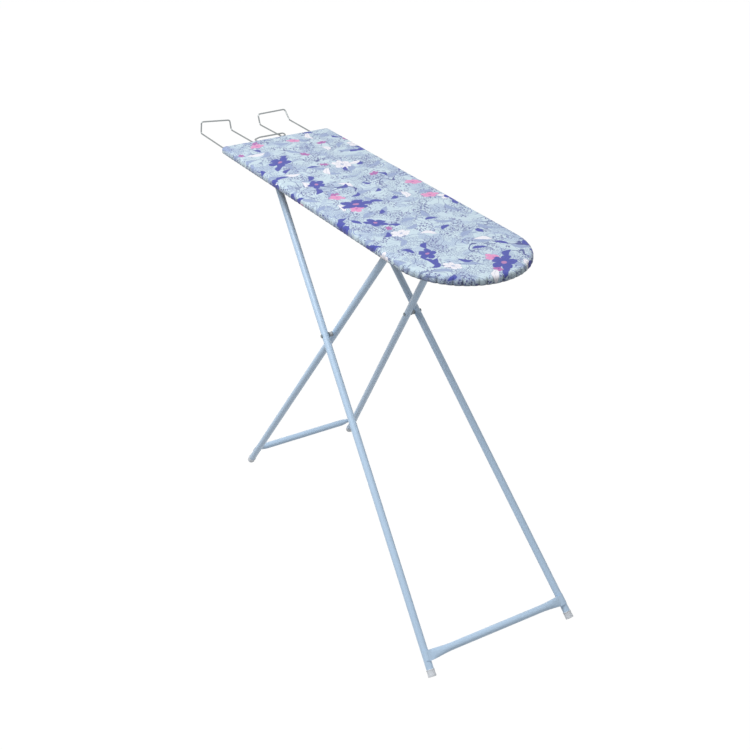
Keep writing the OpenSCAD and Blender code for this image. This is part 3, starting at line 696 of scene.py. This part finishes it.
def rowPlaces(inset):
    # where the rows of the top lie, from the square end to just before the tip
    corner = max(board["cornerRadius"] - inset, board["leastCorner"])
    start, nose = board["back"] + inset, board["noseLength"] - inset
    n = board["cornerRows"]
    rows = [start + corner * (1 - math.cos(math.pi / 2 * i / n)) for i in range(n)]
    n = board["sideRows"]
    rows += [start + corner + (noseX - start - corner) * i / n for i in range(n)]
    n = board["noseRows"]
    rows += [noseX + nose * math.sin(math.pi / 2 * i / n) for i in range(n)]
    return rows


def outlineWith(inset):
    # closed outline, its outward directions and the distance run along it, from the square end's right corner
    rows, columns = rowPlaces(inset), board["columns"]
    flat = halfWidthAt(rows[0], inset)
    line = [Vector((x, halfWidthAt(x, inset), 0)) for x in rows]
    tip = Vector((board["back"] + board["length"] - inset, 0, 0))
    mirrored = [Vector((p.x, -p.y, 0)) for p in line]
    end = [Vector((rows[0], flat * (1 - 2 * i / columns), 0)) for i in range(1, columns)]
    loop = mirrored + [tip] + line[::-1] + end
    n = len(loop)
    outward, run, total = [], [], 0
    for i, p in enumerate(loop):
        along = (loop[(i + 1) % n] - loop[i - 1]).normalized()
        outward.append(Vector((along.y, -along.x, 0)))
        run.append(total)
        total += (loop[(i + 1) % n] - p).length
    return loop, outward, run


def boardTop(inset, height):
    # faces and points of the flat top inside the outline, and the outline's own point numbers in order
    rows, columns = rowPlaces(inset), board["columns"]
    points = [Vector((x, halfWidthAt(x, inset) * (2 * c / columns - 1), height))
              for x in rows for c in range(columns + 1)]
    tip = len(points)
    points.append(Vector((board["back"] + board["length"] - inset, 0, height)))
    last, stride = len(rows) - 1, columns + 1
    faces = [(r * stride + c, (r + 1) * stride + c, (r + 1) * stride + c + 1, r * stride + c + 1)
             for r in range(last) for c in range(columns)]
    faces += [(last * stride + c, tip, last * stride + c + 1) for c in range(columns)]
    rim = [r * stride for r in range(last + 1)] + [tip]
    rim += [r * stride + columns for r in range(last, -1, -1)] + [columns - c for c in range(1, columns)]
    return points, faces, rim


def meshPiece(name, points, faces, flat=None):
    mesh = bpy.data.meshes.new(name)
    mesh.from_pydata(points, [], faces)
    if flat:
        layer = mesh.uv_layers.new(name="flatCloth")
        for loop in mesh.loops:
            layer.data[loop.index].uv = flat[loop.vertex_index]
    piece = bpy.data.objects.new(name, mesh)
    bpy.context.scene.collection.objects.link(piece)
    makeActive(piece)
    bpy.ops.object.mode_set(mode="EDIT")
    bpy.ops.mesh.select_all(action="SELECT")
    bpy.ops.mesh.normals_make_consistent(inside=False)
    bpy.ops.object.mode_set(mode="OBJECT")
    return piece


def bandFaces(first, second):
    # a ring of faces between two closed rows, given as lists of point numbers
    n = len(first)
    return [(first[i], second[i], second[(i + 1) % n], first[(i + 1) % n]) for i in range(n)]


def rowFaces(here, there, n):
    # the same between two rows of n points, given as the number of each row's first point
    return [(here + i, here + (i + 1) % n, there + (i + 1) % n, there + i) for i in range(n)]


def uneven(first, second, grain):
    # smooth noise over two measures, each times its own scale, from its own start
    return noise.noise(Vector((first * grain[0], second * grain[1], grain[2])))


def rampUp(value, start, length):
    t = min(max((value - start) / length, 0), 1)
    return t * t * (3 - 2 * t)


def foldShare(point):
    # how strongly the cloth is gathered: not at the square end, less along the sides, fully round the nose
    nose = rampUp(point.x, noseX - pleats["beforeNose"], pleats["noseGrow"])
    side = rampUp(point.x, board["back"] + pleats["sideFrom"], pleats["sideGrow"])
    return pleats["sideShare"] * side * (1 - nose) + nose


def gather(run):
    # swell of the folds at a place on the outline, below zero in a crease, and the share of painted crease
    # shade there
    wobble = sum(uneven(run, 1, grain) * size for grain, size in pleats["wobble"])
    spread = abs(uneven(run, 1, pleats["strengthGrain"]))
    strength = pleats["strengthFrom"] + pleats["strengthSpread"] * spread
    wave = abs(math.sin(math.pi * run / pleats["width"] + wobble))
    swell = (wave ** pleats["roundness"] - pleats["middle"]) * strength
    return max(pleats["deepest"], swell), (1 - wave) ** pleats["sharpness"] * min(strength, 1)


def hemRoll(turn):
    # offset and height on the rolled hem's own section; turn is in degrees, 0 is its outer side
    wide, tall, start = sewing["rollHalfWidth"], sewing["rollHalfHeight"], math.radians(sewing["rollFrom"])
    offset = sewing["edgeRadius"] - sewing["hemReach"] - wide * math.cos(start)
    height = board["under"] - sewing["clothGap"] - tall * math.sin(start)
    a = math.radians(turn)
    return offset + wide * math.cos(a), height + tall * math.sin(a)


def wrapLevels():
    # from the top's rim: offset, height, cloth used, then how much the folds swell out and down
    top, under = board["top"], board["under"] - sewing["clothGap"]
    edge, turn, reach = sewing["edgeRadius"], sewing["turnRadius"], sewing["hemReach"]
    side, below = pleats["side"], pleats["under"]
    levels = []
    n = sewing["edgeSteps"]
    for i in range(1, n + 1):           # round the top edge
        a = math.pi / 2 / n * i
        levels.append((edge * math.sin(a), top - edge * (1 - math.cos(a)), edge * a, side * 0.5 * i / n, 0))
    used = levels[-1][2]
    drop = top - edge - (under + turn)
    n = max(2, round(drop / sewing["wallStep"]))
    for i in range(1, n + 1):           # down the side
        levels.append((edge, top - edge - drop * i / n, used + drop * i / n, side * (0.5 + 0.5 * i / n), 0))
    used += drop
    n = sewing["turnSteps"]
    for i in range(1, n + 1):           # round the bottom edge
        a = math.pi / 2 / n * i
        levels.append((edge - turn * (1 - math.cos(a)), under + turn - turn * math.sin(a), used + turn * a,
                       side * math.cos(a), below * math.sin(a)))
    used += turn * math.pi / 2
    n = sewing["hemSteps"]
    flat = reach - turn
    for i in range(1, n + 1):           # in under the panel
        levels.append((edge - turn - flat * i / n, under, used + flat * i / n, 0,
                       below * (1 - (1 - pleats["hemShare"]) * i / n)))
    used += flat
    for i in range(1, sewing["rollSteps"] + 1):         # round the rolled hem
        offset, height = hemRoll(sewing["rollFrom"] - sewing["rollTurn"] * i)
        levels.append((offset, height, used + sewing["rollHalfWidth"] * sewing["rollCloth"] * i, 0, hemPleat))
    return levels


def foldedPlace(start, outward, run, offset, height, swellOut, swellDown):
    # a place on the cloth beside the outline, moved by the folds there
    share = foldShare(start)
    fold = gather(run)[0] * share
    ease = pleats["ease"] * uneven(run, height, pleats["easeGrain"]) if swellOut else 0
    place = start + outward * (offset + swellOut * fold + ease)
    return Vector((place.x, place.y, height - swellDown * (0.5 * share + fold)))


# cloth, in one piece from the top round the edge to the rolled hem
rimLine, rimOut, rimRun = outlineWith(sewing["edgeRadius"])
points, faces, rim = boardTop(sewing["edgeRadius"], board["top"])
flatPlaces = [(p.x, p.y) for p in points]
for p in points:
    p.z += sewing["ripple"] * uneven(p.x, p.y, sewing["rippleGrain"])
for i in rim:
    points[i].z = board["top"]
ring, shades = rim, [0] * len(points)
for offset, height, used, swellOut, swellDown in wrapLevels():
    depth = min(max((board["top"] - height) / (board["top"] - board["under"]), 0), 1)
    first = len(points)
    for p, out, run in zip(rimLine, rimOut, rimRun):
        points.append(foldedPlace(p, out, run, offset, height, swellOut, swellDown))
        flatPlaces.append((p.x + out.x * used, p.y + out.y * used))
        # painted shade: darker in the creases of the folds, and darker still low on the edge and under the
        # board
        shade = gather(run)[1] * foldShare(p) * depth ** pleats["shadeReach"]
        shades.append(min(shade + pleats["underShade"] * depth ** pleats["underPower"], 1))
    fresh = list(range(first, len(points)))
    faces += bandFaces(ring, fresh)
    ring = fresh
coverSheet = meshPiece("coverSheet", points, faces, flatPlaces)
# painted shade of each point, which darkens the cloth's colour
paintedShadeLayer = coverSheet.data.attributes.new("paintedCreaseShade", "FLOAT", "POINT")
paintedShadeLayer.data.foreach_set("value", shades)
wall = coverSheet.modifiers.new("clothThickness", "SOLIDIFY")
wall.thickness = sewing["clothThick"]
wall.offset = -1
applyModifiers(coverSheet)
smooth(coverSheet, angle=60)
dress(coverSheet, coverCotton, "board")
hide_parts("cover")

# foam under the cloth
padPlan = {"under": 0.0009, "edge": 0.0052, "edgeAngles": (68, 50, 32, 12), "crown": 0.0002,
           "crownGrain": (30, 30, 7.1)}
padTop = board["top"] - padPlan["under"]
points, faces, ring = boardTop(sewing["edgeRadius"], padTop)
for p in points:
    p.z -= padPlan["crown"] * (0.5 + 0.5 * uneven(p.x, p.y, padPlan["crownGrain"]))
for degrees in padPlan["edgeAngles"]:
    a = math.radians(degrees)
    first = len(points)
    for p, out in zip(rimLine, rimOut):
        place = p + out * padPlan["edge"] * math.cos(a)
        points.append(Vector((place.x, place.y, padTop - padPlan["edge"] * (1 - math.sin(a)))))
    fresh = list(range(first, len(points)))
    faces += bandFaces(ring, fresh)
    ring = fresh
for i in ring:
    points[i].z = panelHigh.z
faces.append(tuple(ring[::-1]))
foamPad = meshPiece("foamPad", points, faces)
smooth(foamPad, angle=50)
dress(foamPad, openFoam, "board")
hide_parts("foam_pad")

# elastic inside the rolled hem
elasticPlan = {"halfWidth": 0.0009, "halfHeight": 0.00042, "sides": 8}
rollSide, rollHeight = hemRoll(0)
points, faces = [], []
n, sides = len(rimLine), elasticPlan["sides"]
for k in range(sides):
    a = 2 * math.pi * k / sides
    offset = rollSide - sewing["rollHalfWidth"] + elasticPlan["halfWidth"] * math.cos(a)
    height = rollHeight + elasticPlan["halfHeight"] * math.sin(a)
    points += [foldedPlace(p, out, run, offset, height, 0, hemPleat)
               for p, out, run in zip(rimLine, rimOut, rimRun)]
    faces += rowFaces(k * n, (k + 1) % sides * n, n)
hemElastic = meshPiece("hemElastic", points, faces)
smooth(hemElastic, angle=60)
dress(hemElastic, coated["elasticCord"], "board")
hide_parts("cover_elastic")
print("pad and elastic made")


# thread that closes the hem round its elastic
seam = {
    "fromRoll": 0.0026, "pitch": 0.0036, "length": 0.0023, "thick": 0.0004, "sides": 6, "sunk": 0.00024,
    "rings": ((-1, 0.2), (-0.6, 0.85), (0, 1), (0.6, 0.85), (1, 0.2)),      # place along it, thickness
}


def stitchAt(corner, direction, outward, points, faces):
    # one stitch: a short thread whose ends dip into the cloth
    first, sides, last = len(points), seam["sides"], len(seam["rings"]) - 1
    for along, thickness in seam["rings"]:
        middle = corner + direction * along * seam["length"] / 2
        middle.z += seam["sunk"] * (2 * along * along - 1)
        for k in range(sides):
            a = 2 * math.pi * k / sides
            aside = outward * math.cos(a) + Vector((0, 0, math.sin(a)))
            points.append(middle + aside * thickness * seam["thick"] / 2)
    for j in range(last):
        faces += rowFaces(first + j * sides, first + (j + 1) * sides, sides)
    faces.append(tuple(first + k for k in range(sides)))
    faces.append(tuple(first + last * sides + k for k in reversed(range(sides))))


points, faces = [], []
seamOffset = sewing["edgeRadius"] - sewing["hemReach"] + seam["fromRoll"]
seamHeight = board["under"] - sewing["clothGap"] - seam["thick"] / 2
seamLine = [foldedPlace(p, out, run, seamOffset, seamHeight, 0, hemPleat)
            for p, out, run in zip(rimLine, rimOut, rimRun)]
spare = 0       # way from the start of a step to its next stitch
for i, start in enumerate(seamLine):
    step = seamLine[(i + 1) % len(seamLine)] - start
    length = step.length
    while spare < length:
        stitchAt(start + step * (spare / length), step.normalized(), rimOut[i], points, faces)
        spare += seam["pitch"]
    spare -= length
hemSeam = meshPiece("hemSeam", points, faces)
smooth(hemSeam, angle=60)
dress(hemSeam, coated["stitchThread"], "board")
print("seam made:", len(faces), "faces")


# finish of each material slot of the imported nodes
nodeFinish = {
    "blue_paint": coated["tubePaint"], "zinc_plate": coated["zincPlate"], "zinc_screw": coated["zincPlate"],
    "zinc_wire": coated["zincWire"], "bright_rod": coated["brightRod"], "dark_steel": coated["darkSteel"],
    "grey_nylon": coated["greyNylon"], "clear_cap": coated["capVinyl"], "elastic": coated["elasticCord"],
    "panel_wood": chipboard, "pad_foam": openFoam, "cover_cotton": coverCotton,
}
for part in frame["record"]["subparts"]:
    node = frame["nodes"][part["node"]]
    node.data.materials.clear()
    node.data.materials.append(nodeFinish[part["material_slot"]])
